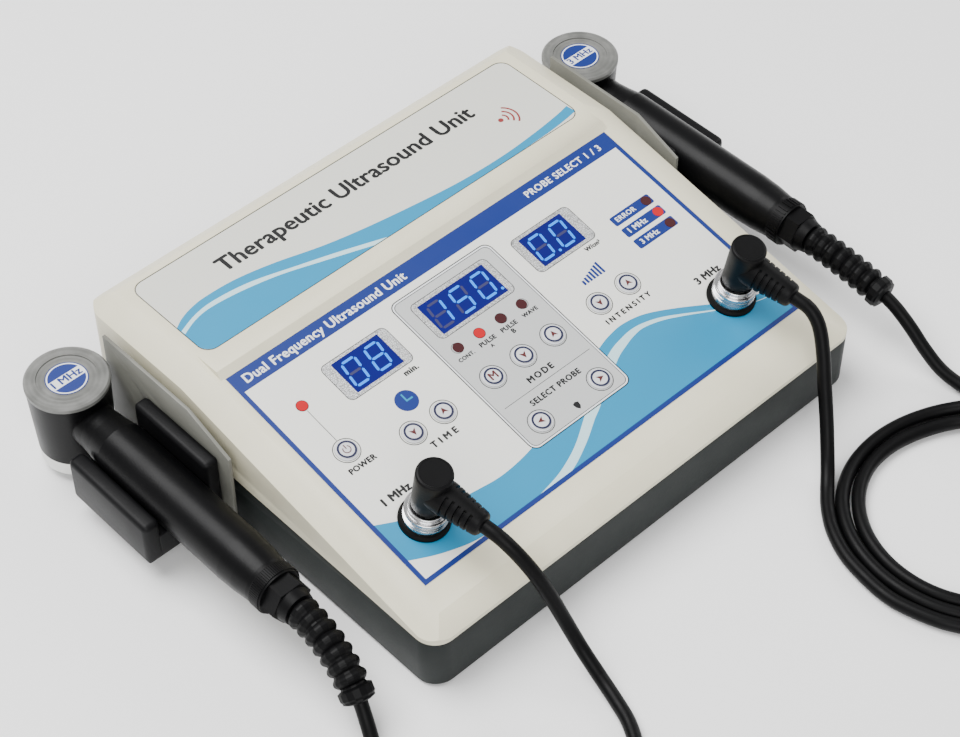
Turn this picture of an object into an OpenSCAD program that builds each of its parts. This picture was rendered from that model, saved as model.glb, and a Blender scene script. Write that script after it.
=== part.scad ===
// Ultrasound therapy console: a wedge-shaped desktop housing with a sloping
// control panel, two angled plugs in panel sockets and two treatment handsets
// that lie in cradles on its sides. Millimetres, +Z up, operator side at -Y,
// origin on the table under the middle of the object.

/* [Housing] */
// overall width of the case
case_w = 250; // [220:1:280]
// overall depth of the case
case_d = 218; // [190:1:250]
// radius of the upright corners
corner_r = 10; // [6:1:16]
// wall thickness of both mouldings
wall = 2.5; // [2:0.1:4]
// height of the line where tray and lid meet
parting_z = 27.5; // [22:0.5:34]
// height of the flat title surface
title_z = 64.5; // [58:0.5:75]
// slope of the control panel in degrees
panel_tilt = 11; // [8:0.5:16]

/* [Panel] */
// width of the control overlay
overlay_w = 220; // [200:1:230]
// length of the control overlay up the slope
overlay_l = 122.8; // [110:0.2:130]
// thickness of the printed films
film = 0.4; // [0.2:0.1:0.8]
// diameter of a key cap
key_d = 10; // [8:0.5:14]
// travel of a key
key_travel = 0.4; // [0.2:0.1:1]
// diameter of an indicator lamp
led_d = 5; // [3:1:5]

/* [Handsets] */
// distance of each handset's axis from the middle
hand_x = 151; // [145:1:165]
// height of the handle's axis above the table
hand_z = 32; // [28:1:40]
// radius of the handle where the cradle holds it
grip_r = 12; // [10:0.5:14]
// radius of the treatment head's cap
cap_r = 18.3; // [14:0.1:22]

/* [Leads] */
// diameter of each handset lead
lead_d = 6.2; // [5:0.1:8]
// outer radius of the coil of the left lead
left_coil_r = 40; // [36:1:46]
// outer radius of the loops of the right lead
right_coil_r = 63; // [56:1:70]

/* [Hidden] */
$fn = 48;
eps = 0.01;
run = 0.08;               // radial clearance of a running fit
gap = 0.3;                // air between bodies that pass each other
front_y = -110.5;
back_y = front_y + case_d;
mid_y = (front_y + back_y) / 2;
foot_h = 1.5;
panel_y = -89.7;          // front edge of the overlay
panel_z = 37.8;
pocket = 0.5;             // depth of the recess that a film lies in
band_out = 11;            // width of the sloping band round the top
band_drop = 5.2;
front_band = [8.7, 5.7];
back_band = [8, 6.4];
lip_z = 29.75;            // top of the upright front wall
case_post = [[-105, -92], [105, -92], [-105, 88], [105, 88]];
foot_list = [[-98, -80], [98, -80], [-98, 72], [98, 72]];
board_post = [[-45, -60], [45, -60], [-45, 20], [45, 20]];
title_x = 108.5;
title_y = [44.5, 96.5];
step_y = [31.2, 33.9];    // foot and head of the step behind the panel
screw_r = 1.5;

// panel layout: [across, up the slope] from the middle of the front edge
power_at = [-93.4, 66.2];
time_at = [[-66.4, 55.8], [-49.7, 55.8]];
menu_at = [-21.5, 55.8];
mode_at = [[-4, 55.8], [13.5, 55.8]];
probe_at = [[-20.8, 27.3], [13.6, 27.3]];
level_at = [[41, 55.5], [58.4, 55.5]];
key_list = concat([power_at], time_at, [menu_at], mode_at, probe_at, level_at);
lamp_list = concat(
    [[-93.7, 93.7]],
    [for (x = [-23.1, -10.9, 1.5, 13.7]) [x, 75.8]],
    [for (y = [83, 75.4, 67.7]) [97.3, y]]);
socket_list = [[-90, 22.8], [90, 22.8]];
// windows: [middle across, middle up, width, height]
window_list = [[-58.6, 93.2, 25.6, 17.4], [-4.5, 93.2, 37.6, 17.4], [48.4, 92.8, 25.2, 17.4]];
module_h = 19;            // height of a display module up the slope
board_w = -9;             // top of the control board below the panel
board_t = 1.6;
panel_post = [[-102, 8], [102, 8], [-102, 114], [102, 114]];

// sockets and plugs, heights measured out of the panel
washer_t = 2;
barrel_r = 7.2;
bore_r = 5.6;
ring_h = [3.6, 9.6, 11.8];
neck_r = 6;
plug_axis_h = 24;
boot_turn = 10;
boot_l = 28;

// mains entry on the back wall
entry_z = 43;
inlet_x = -62;
fuse_x = -22;
rocker_x = 12;

// handsets
head_y = 86.8;
head_top = 46;
face_z = [4, 13];
collar_y = -42.5;
gland_end_y = -61.5;
relief_l = 44;
relief_bend = [45, 12];   // droop of the left and the right strain relief
relief_lean = [15, 0];    // lean of the droop away from the case
relief_r = 7.4;
relief_rings = 7;
cradle_y = [10.5, 62.5];
cradle_x = [131.5, 171.5];
cradle_floor = 10;
bracket_x = 130;
bracket_side = [[10.5, 12], [86, 12], [86, 60], [29.5, 60], [4, 50], [4, 12]];
bracket_screw = [[24, 20], [52, 20], [24, 36], [52, 36]];

// leads: points along the stretches that are not wound
left_hand_route = [
    [-156, -101.5, 16.2], [-157.4, -107, 10.9], [-160.6, -114.5, 6.4], [-166, -123.5, 4],
    [-173.5, -134, 3.2], [-182.5, -147, 3.2], [-190, -161, 3.2]];
left_plug_route = [
    [-85, -99.4, 60.4], [-83.9, -105.7, 58.8], [-81.8, -112.6, 53.6], [-79, -119.4, 45],
    [-76.4, -126, 34], [-74.4, -132.8, 22.4], [-73.4, -141, 12.2], [-73.8, -151.4, 5.6],
    [-76.4, -163, 3.4], [-80.4, -174.5, 3.2], [-88, -186, 3.2], [-100, -195.6, 3.2],
    [-114.5, -202.5, 3.2], [-128.5, -208.6, 3.2]];
right_hand_route = [
    [151, -105.7, 27.3], [151, -112.4, 25.4], [151, -121, 19.8], [151.2, -130.6, 12.4],
    [151.8, -140.6, 6.4], [153.4, -152, 3.6], [155.6, -164, 3.2], [157.6, -177, 3.2]];
right_plug_route = [
    [95, -99.4, 60.4], [96, -105.6, 58.6], [95.2, -111.8, 53.4], [92, -118, 44.4],
    [87.2, -124.6, 33.4], [82.2, -131.6, 22], [77.4, -138.6, 12], [72.6, -145.4, 6],
    [67, -151.8, 3.8], [61.4, -157.8, 3.2]];
left_coil_at = [-155, -182];
right_coil_at = [98, -200];
left_coil_in = 26.5;
right_coil_in = 43;
coil_h = 12.6;

// ---- helpers ----

// moves children onto the control panel; +Z there points out of it
module on_panel(u, v, w = 0) {
    translate([0, panel_y, panel_z]) rotate([panel_tilt, 0, 0]) translate([u, v, w]) children();
}

// a rounded rectangle made from true arcs
module rounded(w, d, r) {
    square([w - 2 * r, d], center = true);
    square([w, d - 2 * r], center = true);
    for (x = [-1, 1], y = [-1, 1]) {
        translate([x * (w / 2 - r), y * (d / 2 - r)]) circle(r);
    }
}

// the upright outline of the case, drawn in by i
module case_column(i, z0, z1) {
    translate([0, mid_y, z0]) {
        linear_extrude(z1 - z0) rounded(case_w - 2 * i, case_d - 2 * i, corner_r - i);
    }
}

// side view of the lid, extruded across the case
module side_profile() {
    y0 = front_y;
    y1 = front_y + front_band[0];
    y2 = back_y - back_band[0];
    rotate([90, 0, 90]) linear_extrude(case_w + 2, center = true) {
        polygon([
            [y0 - 1, 0], [y0 - 1, lip_z - front_band[1] / front_band[0]], [y0, lip_z],
            [y1, lip_z + front_band[1]], [y1, title_z], [y2, title_z],
            [back_y, title_z - back_band[1]], [back_y + 1, title_z - back_band[1] - 0.8],
            [back_y + 1, 0]]);
    }
}

// the roof over the panel or the title: flat on top, banded at both sides
module roof(drop) {
    x = case_w / 2;
    rotate([90, 0, 0]) linear_extrude(2 * case_d, center = true) {
        polygon([
            [-x - 1, -90], [-x - 1, -drop - drop / band_out], [-x + band_out, 0],
            [x - band_out, 0], [x + 1, -drop - drop / band_out], [x + 1, -90]]);
    }
}

// the solid wedge of the lid
module wedge() {
    intersection() {
        side_profile();
        on_panel(0, overlay_l / 2) roof(band_drop);
        translate([0, mid_y, title_z]) roof(back_band[1]);
    }
}

// the title surface runs forward over the slope as a shallow step
module title_step() {
    rise = tan(panel_tilt);
    rotate([90, 0, 90]) linear_extrude(224, center = true) {
        polygon([
            [step_y[0], panel_z + (step_y[0] - panel_y) * rise - 0.02],
            [step_y[1], title_z], [60, title_z], [60, title_z - 4]]);
    }
}

// one self-tapping screw, head at the top, standing on its point
module screw(l = 8) {
    cylinder(h = l, r = screw_r);
    translate([0, 0, l]) cylinder(h = 2, r = 2.8);
}

// a closed skin over rings of points that follow each other
module swept(points, rings, sides) {
    walls = [for (i = [0 : rings - 2], k = [0 : sides - 1])
        let (a = i * sides + k, b = i * sides + (k + 1) % sides)
        [a, b, b + sides, a + sides]];
    caps = [[for (k = [sides - 1 : -1 : 0]) k], [for (k = [0 : sides - 1]) (rings - 1) * sides + k]];
    polyhedron(points, concat(walls, caps));
}

// places children at both sides of the case
module both_sides() {
    children();
    mirror([1, 0, 0]) children();
}

// ---- housing ----

module lower_case() {
    color([0.22, 0.24, 0.23]) difference() {
        union() {
            difference() {
                case_column(0, foot_h, parting_z);
                case_column(wall, foot_h + 3, parting_z + 1);
            }
            for (p = case_post) {
                translate([p[0], p[1], foot_h + 1]) cylinder(h = 24, r = 4.5);
            }
            for (p = board_post) {
                translate([p[0], p[1], foot_h + 1]) cylinder(h = 6, r = 3);
            }
        }
        for (p = case_post) {
            translate([p[0], p[1], 0]) cylinder(h = 40, r = screw_r + 0.2);
            translate([p[0], p[1], 0]) cylinder(h = foot_h + 4, r = 3.2);
        }
        for (x = [-30 : 6 : 30]) {
            translate([x, 65, 0]) linear_extrude(10) square([2.4, 40], center = true);
        }
        for (p = board_post) {
            translate([p[0], p[1], foot_h + 4]) cylinder(h = 6, r = screw_r);
        }
        for (p = foot_list) {
            translate([p[0], p[1], foot_h - 1]) cylinder(h = 2.2, r = 2);
        }
        side_holes();
    }
}

module upper_case() {
    color([0.87, 0.86, 0.81]) difference() {
        union() {
            intersection() {
                case_column(0, parting_z, title_z + 1);
                union() {
                    wedge();
                    title_step();
                }
            }
            for (p = case_post) {
                translate([p[0], p[1], parting_z - 1]) {
                    cylinder(h = p[1] < 0 ? 7 : 30, r = 4.5);
                }
            }
        }
        difference() {
            intersection() {
                case_column(wall, parting_z - 2, title_z);
                translate([0, 0, -1.15 * wall]) wedge();
            }
            for (p = case_post) {
                translate([p[0], p[1], parting_z - 3]) cylinder(h = 60, r = 4.5);
            }
            for (p = panel_post) {
                on_panel(p[0], p[1], board_w) cylinder(h = 12, r = 3);
            }
        }
        for (p = case_post) {
            translate([p[0], p[1], parting_z - 2]) cylinder(h = 7, r = screw_r);
        }
        for (p = panel_post) {
            on_panel(p[0], p[1], board_w - 1) cylinder(h = 7, r = screw_r);
        }
        on_panel(0, overlay_l / 2, -pocket) linear_extrude(4) {
            square([overlay_w + 0.4, overlay_l + 0.4], center = true);
        }
        translate([0, (title_y[0] + title_y[1]) / 2, title_z - pocket]) {
            linear_extrude(2) rounded(2 * title_x + 0.4, title_y[1] - title_y[0] + 0.4, 6);
        }
        for (k = key_list) {
            on_panel(k[0], k[1], -8) cylinder(h = 12, r = key_d / 2 + run);
        }
        for (k = lamp_list) {
            on_panel(k[0], k[1], -8) cylinder(h = 12, r = led_d / 2 + 0.1);
        }
        for (k = socket_list) {
            on_panel(k[0], k[1], -8) cylinder(h = 12, r = 8);
        }
        for (k = window_list) {
            on_panel(k[0], k[1], -8) linear_extrude(12) square([k[2] + 0.4, module_h + 0.4], center = true);
        }
        back_openings();
        side_holes();
    }
}

// screw holes in both side walls for the brackets
module side_holes() {
    for (p = bracket_screw) {
        translate([0, p[0], p[1]]) rotate([0, 90, 0]) cylinder(h = case_w + 2, r = screw_r, center = true);
    }
}

// holes in the back wall for the mains entry
module back_openings() {
    translate([inlet_x, back_y, entry_z]) rotate([90, 0, 0]) {
        linear_extrude(10, center = true) square([28, 20], center = true);
        for (x = [-20, 20]) {
            translate([x, 0, 0]) cylinder(h = 10, r = screw_r, center = true);
        }
    }
    translate([fuse_x, back_y, entry_z]) rotate([90, 0, 0]) cylinder(h = 10, r = 6.4, center = true);
    translate([rocker_x, back_y, entry_z]) rotate([90, 0, 0]) {
        linear_extrude(10, center = true) square([19.4, 13], center = true);
    }
}

module rubber_feet() {
    color([0.08, 0.08, 0.08]) for (p = foot_list) {
        translate([p[0], p[1], 0]) {
            cylinder(h = foot_h, r = 7);
            translate([0, 0, foot_h - eps]) cylinder(h = 1, r = 2);
        }
    }
}

// one size of screw holds the two mouldings, the boards and the brackets
module screws() {
    color([0.7, 0.7, 0.72]) {
        for (p = case_post) {
            translate([p[0], p[1], foot_h + 2]) mirror([0, 0, 1]) translate([0, 0, -28.5]) {
                translate([0, 0, 26.5]) cylinder(h = 2, r = 2.8);
                cylinder(h = 26.5, r = screw_r);
            }
        }
        for (p = panel_post) {
            on_panel(p[0], p[1], board_w - board_t) mirror([0, 0, 1]) translate([0, 0, -6]) screw(6);
        }
        for (p = board_post) {
            translate([p[0], p[1], foot_h + 4.2]) screw(4.4);
        }
        both_sides() for (p = bracket_screw) {
            translate([case_w / 2 - 4, p[0], p[1]]) rotate([0, 90, 0]) cylinder(h = 10.5, r = screw_r);
        }
        for (x = [-20, 20]) {
            translate([inlet_x + x, back_y - 4, entry_z]) rotate([-90, 0, 0]) screw(5);
        }
    }
}

module title_label() {
    color([0.9, 0.9, 0.87]) translate([0, (title_y[0] + title_y[1]) / 2, title_z - pocket]) {
        linear_extrude(film) rounded(2 * title_x, title_y[1] - title_y[0], 5.8);
    }
}

module control_overlay() {
    color([0.88, 0.89, 0.88]) difference() {
        on_panel(0, overlay_l / 2, -pocket) linear_extrude(film) {
            square([overlay_w, overlay_l], center = true);
        }
        for (k = key_list) {
            on_panel(k[0], k[1], -8) cylinder(h = 12, r = key_d / 2 + run);
        }
        for (k = lamp_list) {
            on_panel(k[0], k[1], -8) cylinder(h = 12, r = led_d / 2 + 0.1);
        }
        for (k = socket_list) {
            on_panel(k[0], k[1], -8) cylinder(h = 12, r = 8);
        }
        for (k = window_list) {
            on_panel(k[0], k[1], -8) linear_extrude(12) square([k[2], k[3]], center = true);
        }
    }
}

module display_windows() {
    color([0.1, 0.15, 0.35]) for (k = window_list) {
        on_panel(k[0], k[1], -pocket) linear_extrude(film) square([k[2], k[3]], center = true);
    }
}

// ---- electronics ----

module display_modules() {
    color([0.05, 0.05, 0.06]) for (k = window_list) {
        on_panel(k[0], k[1], board_w) {
            linear_extrude(-board_w - pocket - 0.1) square([k[2], module_h], center = true);
        }
    }
}

module status_lamps() {
    color([0.7, 0.1, 0.12]) for (k = lamp_list) {
        on_panel(k[0], k[1], board_w) cylinder(h = -board_w + 0.1, r = led_d / 2);
    }
}

module control_board() {
    color([0.1, 0.35, 0.2]) difference() {
        on_panel(0, overlay_l / 2, board_w - board_t) {
            linear_extrude(board_t) square([214, 114], center = true);
        }
        for (p = panel_post) {
            on_panel(p[0], p[1], board_w - 4) cylinder(h = 8, r = screw_r + 0.1);
        }
        for (k = socket_list) {
            on_panel(k[0], k[1], board_w - 4) cylinder(h = 8, r = 12);
        }
    }
}

module tact_switches() {
    color([0.15, 0.15, 0.15]) for (k = key_list) {
        on_panel(k[0], k[1], board_w) {
            linear_extrude(2.6) square(6, center = true);
            cylinder(h = 3, r = 1.7);
        }
    }
}

module power_board() {
    color([0.1, 0.35, 0.2]) difference() {
        union() {
            translate([0, -20, foot_h + 7]) linear_extrude(board_t) square([104, 96], center = true);
            for (x = [-30, -12]) {
                translate([x, -40, foot_h + 7 + board_t]) cylinder(h = 16, r = 6);
            }
            translate([20, -45, foot_h + 7 + board_t]) linear_extrude(7) square([30, 20], center = true);
            translate([-30, 5, foot_h + 7 + board_t]) linear_extrude(5) square([16, 12], center = true);
        }
        for (p = board_post) {
            translate([p[0], p[1], 0]) cylinder(h = 20, r = screw_r + 0.1);
        }
    }
}

// laminated core with the bobbin through its window
module mains_transformer() {
    color([0.35, 0.3, 0.25]) translate([-62, 62, foot_h + 3]) {
        difference() {
            linear_extrude(32) square([46, 26], center = true);
            for (x = [-11, 11]) {
                translate([x, 0, 7]) linear_extrude(18) square([9, 40], center = true);
            }
        }
        difference() {
            translate([0, 0, 7.2]) linear_extrude(17.6) square([30, 38], center = true);
            translate([0, 0, 6]) linear_extrude(20) square([46, 26], center = true);
        }
        for (x = [-11, 11]) {
            translate([x, 0, 7.2]) linear_extrude(17.6) square([8.6, 27], center = true);
        }
    }
}

module heat_sink() {
    color([0.75, 0.76, 0.78]) translate([60, 62, foot_h + 3]) {
        linear_extrude(4) square([50, 36], center = true);
        for (x = [-22 : 5.5 : 22]) {
            translate([x, 0, 3]) linear_extrude(22) square([1.6, 36], center = true);
        }
    }
}

// flat cable from the power board up to the control board
module ribbon_cable() {
    low = foot_h + 7 + board_t + 7;
    color([0.55, 0.55, 0.58]) translate([20, 0, 0]) rotate([90, 0, 90]) linear_extrude(20, center = true) {
        polygon([
            [-48, low], [-42, low], [-30, 29], [-14, 36], [-12, 41.5], [-13.4, 41.2],
            [-15, 37], [-31, 30], [-43, low + 1], [-48, low + 1]]);
    }
}

// ---- keys ----

// a cap with a shallow dome, a retaining flange under the lid and a stem
module key_cap(at) {
    color([0.8, 0.8, 0.83]) on_panel(at[0], at[1]) {
        translate([0, 0, -4.2]) cylinder(h = 4.6, r = key_d / 2);
        translate([0, 0, 0.4 - eps]) cylinder(h = 0.5, r1 = key_d / 2 - 0.3, r2 = key_d / 2 - 1);
        translate([0, 0, -4.2]) cylinder(h = 0.8, r = key_d / 2 + 0.9);
        translate([0, 0, -5.4]) cylinder(h = 1.3, r = 1.6);
    }
}

// ---- mains entry ----

module mains_inlet() {
    color([0.07, 0.07, 0.07]) translate([inlet_x, back_y, entry_z]) rotate([-90, 0, 0]) {
        difference() {
            union() {
                linear_extrude(2.6) rounded(48, 23, 5);
                translate([0, 0, -18]) linear_extrude(18 + eps) square([27.4, 19.4], center = true);
            }
            translate([0, 0, -14]) linear_extrude(20) square([24.4, 16.4], center = true);
            for (x = [-20, 20]) {
                translate([x, 0, -1]) cylinder(h = 6, r = screw_r);
                translate([x, 0, 1]) cylinder(h = 2, r = 3);
            }
        }
        for (p = [[-7, -2], [7, -2], [0, 2]]) {
            translate([p[0], p[1], -15]) linear_extrude(11) square([2, 4], center = true);
        }
    }
}

module fuse_holder() {
    color([0.07, 0.07, 0.07]) translate([fuse_x, back_y, entry_z]) rotate([-90, 0, 0]) {
        difference() {
            union() {
                cylinder(h = 1.4, r = 8);
                translate([0, 0, -28]) cylinder(h = 28 + eps, r = 6.2);
            }
            translate([0, 0, -26]) cylinder(h = 40, r = 4.4);
        }
    }
}

module fuse_cap() {
    color([0.07, 0.07, 0.07]) translate([fuse_x, back_y, entry_z]) rotate([-90, 0, 0]) {
        difference() {
            union() {
                translate([0, 0, 1.4 + run]) cylinder(h = 1.5, r = 6.6);
                translate([0, 0, -4]) cylinder(h = 6, r = 4.4 - run);
            }
            translate([0, 0, 2.2]) linear_extrude(2) square([9, 1.4], center = true);
            translate([0, 0, -5]) cylinder(h = 4.4, r = 2.75);
        }
    }
}

module mains_fuse() {
    color([0.8, 0.8, 0.82]) translate([fuse_x, back_y, entry_z]) rotate([-90, 0, 0]) {
        translate([0, 0, -21]) cylinder(h = 20, r = 2.6);
    }
}

module rocker_frame() {
    color([0.07, 0.07, 0.07]) translate([rocker_x, back_y, entry_z]) rotate([-90, 0, 0]) {
        difference() {
            union() {
                linear_extrude(1.6) rounded(21.4, 15, 1.5);
                translate([0, 0, -16]) linear_extrude(16 + eps) square([19.2, 12.8], center = true);
            }
            translate([0, 0, -10]) linear_extrude(20) square([17, 10.6], center = true);
        }
        translate([0, 0, -3.4]) rotate([90, 0, 0]) cylinder(h = 12, r = 1.2, center = true);
    }
}

// the rocker is pivoted across its frame and rests with its left end in
module rocker_key() {
    color([0.55, 0.05, 0.05]) translate([rocker_x, back_y, entry_z]) rotate([-90, 0, 0]) {
        translate([0, 0, -3.4]) rotate([0, -9, 0]) difference() {
            union() {
                translate([-7.4, -5.1, -1.8]) cube([14.8, 10.2, 5.4]);
                translate([-7.4, -5.1, 3.5]) cube([14.8, 10.2, 1.2]);
            }
            rotate([90, 0, 0]) cylinder(h = 20, r = 1.2 + run, center = true);
            for (s = [-1, 1]) {
                translate([s * 9.6, 0, 11.4]) rotate([90, 0, 0]) cylinder(h = 20, r = 7.6, center = true);
            }
        }
    }
}

// ---- sockets and plugs ----

module panel_sockets() {
    color([0.78, 0.78, 0.8]) for (k = socket_list) {
        on_panel(k[0], k[1]) difference() {
            union() {
                translate([0, 0, washer_t]) cylinder(h = 1.4, r = 9.2);
                translate([0, 0, -13]) cylinder(h = 22, r = barrel_r);
                translate([0, 0, -13]) cylinder(h = 13 + washer_t + 0.5, r = 7.9);
                translate([0, 0, -6.4]) cylinder(h = 3, r = 11, $fn = 6);
            }
            translate([0, 0, -9]) cylinder(h = 30, r = bore_r);
        }
    }
}

module socket_washers() {
    color([0.06, 0.06, 0.06]) for (k = socket_list) {
        on_panel(k[0], k[1], -0.1) difference() {
            union() {
                cylinder(h = 1.3, r = 11);
                translate([0, 0, 1.2]) cylinder(h = 0.9, r1 = 11, r2 = 10.2);
            }
            translate([0, 0, -1]) cylinder(h = 6, r = 7.95);
        }
    }
}

module coupling_ring(k) {
    color([0.8, 0.8, 0.82]) on_panel(k[0], k[1]) difference() {
        union() {
            translate([0, 0, ring_h[0]]) cylinder(h = ring_h[1] - ring_h[0], r = 9.5);
            translate([0, 0, ring_h[1] - eps]) cylinder(h = ring_h[2] - ring_h[1], r = 8);
        }
        translate([0, 0, 0]) cylinder(h = 10.3, r = barrel_r + run);
        translate([0, 0, 5]) cylinder(h = 12, r = neck_r + run);
    }
}

// steel contact barrel of the plug, held in the moulded body
module plug_core(k) {
    color([0.7, 0.7, 0.72]) on_panel(k[0], k[1]) difference() {
        union() {
            translate([0, 0, -5]) cylinder(h = 15, r = bore_r - run);
            translate([0, 0, 9.1]) cylinder(h = 1.1, r = 6.9);
            translate([0, 0, 9.4]) cylinder(h = 7.6, r = neck_r);
        }
        translate([0, 0, -6]) cylinder(h = 9, r = 4.4);
    }
}

// moulded right-angle body with its slotted boot
module plug_body(k) {
    color([0.1, 0.1, 0.11]) on_panel(k[0], k[1]) difference() {
        union() {
            translate([0, 0, 13]) cylinder(h = 18, r1 = 7.2, r2 = 7.7);
            translate([0, 0, 31 - eps]) intersection() {
                cylinder(h = 4, r = 7.7);
                translate([0, 0, -8]) sphere(r = 11.6);
            }
            rotate([0, 0, boot_turn]) translate([0, 0, plug_axis_h]) rotate([90, 0, 0]) {
                cylinder(h = boot_l, r1 = 7.4, r2 = 5.2);
            }
        }
        translate([0, 0, 12]) cylinder(h = 5, r = neck_r);
        rotate([0, 0, boot_turn]) for (n = [0 : 3]) {
            translate([0, -12 - 3.6 * n, plug_axis_h]) for (s = [-1, 1]) {
                translate([s * 7.6 - 1.6, -0.7, -3]) cube([3.2, 1.4, 6]);
            }
        }
    }
}

// ---- side brackets and cradles ----

module side_brackets() {
    color([0.72, 0.71, 0.67]) both_sides() difference() {
        union() {
            translate([bracket_x, 0, 0]) rotate([90, 0, 90]) linear_extrude(1.5) polygon(bracket_side);
            for (p = bracket_screw) {
                translate([case_w / 2, p[0], p[1]]) rotate([0, 90, 0]) {
                    cylinder(h = bracket_x - case_w / 2 + eps, r = 4);
                }
            }
        }
        for (p = bracket_screw) {
            translate([case_w / 2 - 1, p[0], p[1]]) rotate([0, 90, 0]) cylinder(h = 10, r = screw_r);
        }
    }
}

// open-topped holder: high inner wall, low outer wall, round seat between
module cradle(s) {
    r = grip_r + gap;
    color([0.09, 0.09, 0.1]) mirror([s < 0 ? 1 : 0, 0, 0]) difference() {
        union() {
            translate([cradle_x[0], cradle_y[0], cradle_floor]) {
                cube([cradle_x[1] - cradle_x[0], cradle_y[1] - cradle_y[0], 10]);
                cube([hand_x - r - cradle_x[0], 48, 36]);
                translate([hand_x + r - cradle_x[0], 0, 0]) cube([cradle_x[1] - hand_x - r, 52, 23]);
            }
            translate([hand_x - 13, cradle_y[0], cradle_floor]) cube([26, 52, 14]);
        }
        translate([hand_x, 0, hand_z]) rotate([90, 0, 0]) cylinder(h = 300, r = r, center = true);
        translate([hand_x - r, -20, hand_z]) cube([2 * r, 120, 40]);
        for (p = bracket_screw) {
            translate([cradle_x[0] - 1, p[0], p[1]]) rotate([0, 90, 0]) cylinder(h = 4, r = screw_r);
        }
    }
}

// ---- handsets ----

module head(s) {
    color([0.08, 0.08, 0.09]) translate([s * hand_x, head_y, 0]) difference() {
        translate([0, 0, face_z[1] - 1]) cylinder(h = head_top - face_z[1] + 1, r1 = 16.7, r2 = 18);
        translate([0, 0, face_z[1] - 2]) cylinder(h = head_top - face_z[1], r = 14.2);
    }
}

module head_cap(s) {
    color([0.53, 0.53, 0.51]) translate([s * hand_x, head_y, head_top]) difference() {
        union() {
            cylinder(h = 1.7, r = cap_r);
            translate([0, 0, 1.7 - eps]) cylinder(h = 0.8, r1 = cap_r, r2 = cap_r - 0.8);
        }
        translate([0, 0, 1.9]) cylinder(h = 2, r = 13);
    }
}

// aluminium front that touches the skin, a cup with a thin end wall
module treatment_face(s) {
    color([0.78, 0.78, 0.76]) translate([s * hand_x, head_y, face_z[0]]) difference() {
        union() {
            cylinder(h = 1, r1 = 15.4, r2 = 16.4);
            translate([0, 0, 1 - eps]) cylinder(h = 7.01, r = 16.4);
            translate([0, 0, 8 - eps]) cylinder(h = 11, r = 14);
        }
        translate([0, 0, 2.4]) cylinder(h = 30, r = 12.6);
    }
}

module crystal(s) {
    color([0.85, 0.8, 0.6]) translate([s * hand_x, head_y, face_z[0] + 2.4]) cylinder(h = 2, r = 12.4);
}

// handle turned about its own axis, which runs from the head to the gland
module handle(s) {
    fit = grip_r;
    color([0.09, 0.09, 0.1]) difference() {
        translate([s * hand_x, head_y, hand_z]) rotate([90, 0, 0]) rotate_extrude() {
            polygon([
                [0, 4], [10.2, 4], [10.2, 20], [10.8, 26], [fit, 34], [fit, 88], [fit, 112],
                [fit - 0.4, 120], [fit - 1.3, 128], [10.4, head_y - collar_y], [0, head_y - collar_y]]);
        }
        translate([s * hand_x, head_y, 10]) cylinder(h = 50, r = 17.4);
    }
}

// knurled collar, hexagon and tapered nose of the cable gland
module gland(s) {
    color([0.07, 0.07, 0.08]) translate([s * hand_x, collar_y, hand_z]) rotate([90, 0, 0]) difference() {
        union() {
            cylinder(h = 7, r = 10.4);
            translate([0, 0, 7 - eps]) cylinder(h = 7.5, r = 9.8, $fn = 6);
            translate([0, 0, 14.5 - 2 * eps]) {
                cylinder(h = collar_y - gland_end_y - 14.5 + 2 * eps, r1 = 8.2, r2 = 7.2);
            }
        }
        translate([0, 0, -1]) cylinder(h = 40, r = lead_d / 2);
    }
}

// a sleeve swept down the drooping relief: ribs first, then a bulb at the end
function relief_radius(t) =
    let (ribs = 0.84)
    t < ribs ? 5.2 + 2.1 * pow(sin(180 * ((t / ribs * relief_rings) % 1)), 0.8)
    : t > 0.99 ? 5 : t > 0.96 ? 6.8 : t > 0.865 ? relief_r : 5.6;

// ring of points round the relief's centre line at t (0 at the gland, 1 at the tip)
function relief_ring(i, t, sides) =
    let (s = i == 0 ? -1 : 1, radius = relief_l / (relief_bend[i] * PI / 180))
    let (a = relief_bend[i] * t, lean = -s * relief_lean[i], down = -radius * (1 - cos(a)))
    let (middle = [s * hand_x + down * sin(lean), gland_end_y - radius * sin(a), hand_z + down * cos(lean)])
    let (along = [-sin(a) * sin(lean), -cos(a), -sin(a) * cos(lean)])
    let (side = [cos(lean), 0, -sin(lean)], up = cross(along, side), r = relief_radius(t))
    [for (k = [0 : sides - 1]) middle + r * (cos(360 * k / sides) * side + sin(360 * k / sides) * up)];

// ribbed sleeve that keeps the lead from kinking
module strain_relief(i, sides = 16) {
    steps = 56;
    points = [for (n = [0 : steps], p = relief_ring(i, n / steps, sides)) p];
    color([0.06, 0.06, 0.07]) swept(points, steps + 1, sides);
}

// ---- leads ----

function unit(v) = v / norm(v);

// point at parameter t (0 to 1) on the smooth curve through p1 and p2
function blend4(p0, p1, p2, p3, t) =
    0.5 * ((2 * p1) + (p2 - p0) * t + (2 * p0 - 5 * p1 + 4 * p2 - p3) * t * t
    + (3 * p1 - p0 - 3 * p2 + p3) * t * t * t);

function pick(r, i) = r[max(0, min(len(r) - 1, i))];

// one ring of points round the route at point i
function ring_at(r, i, sides) =
    let (d = unit(pick(r, i + 1) - pick(r, i - 1)))
    let (a = unit(cross(d, [0.31, 0.17, 0.93])))
    let (b = cross(d, a))
    [for (k = [0 : sides - 1]) r[i] + lead_d / 2 * (cos(360 * k / sides) * a + sin(360 * k / sides) * b)];

// a route with one point added between each pair
function finer(r) = concat(
    [for (i = [0 : len(r) - 2], t = [0, 0.5])
        blend4(pick(r, i - 1), r[i], r[i + 1], pick(r, i + 2), t)],
    [r[len(r) - 1]]);

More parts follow.
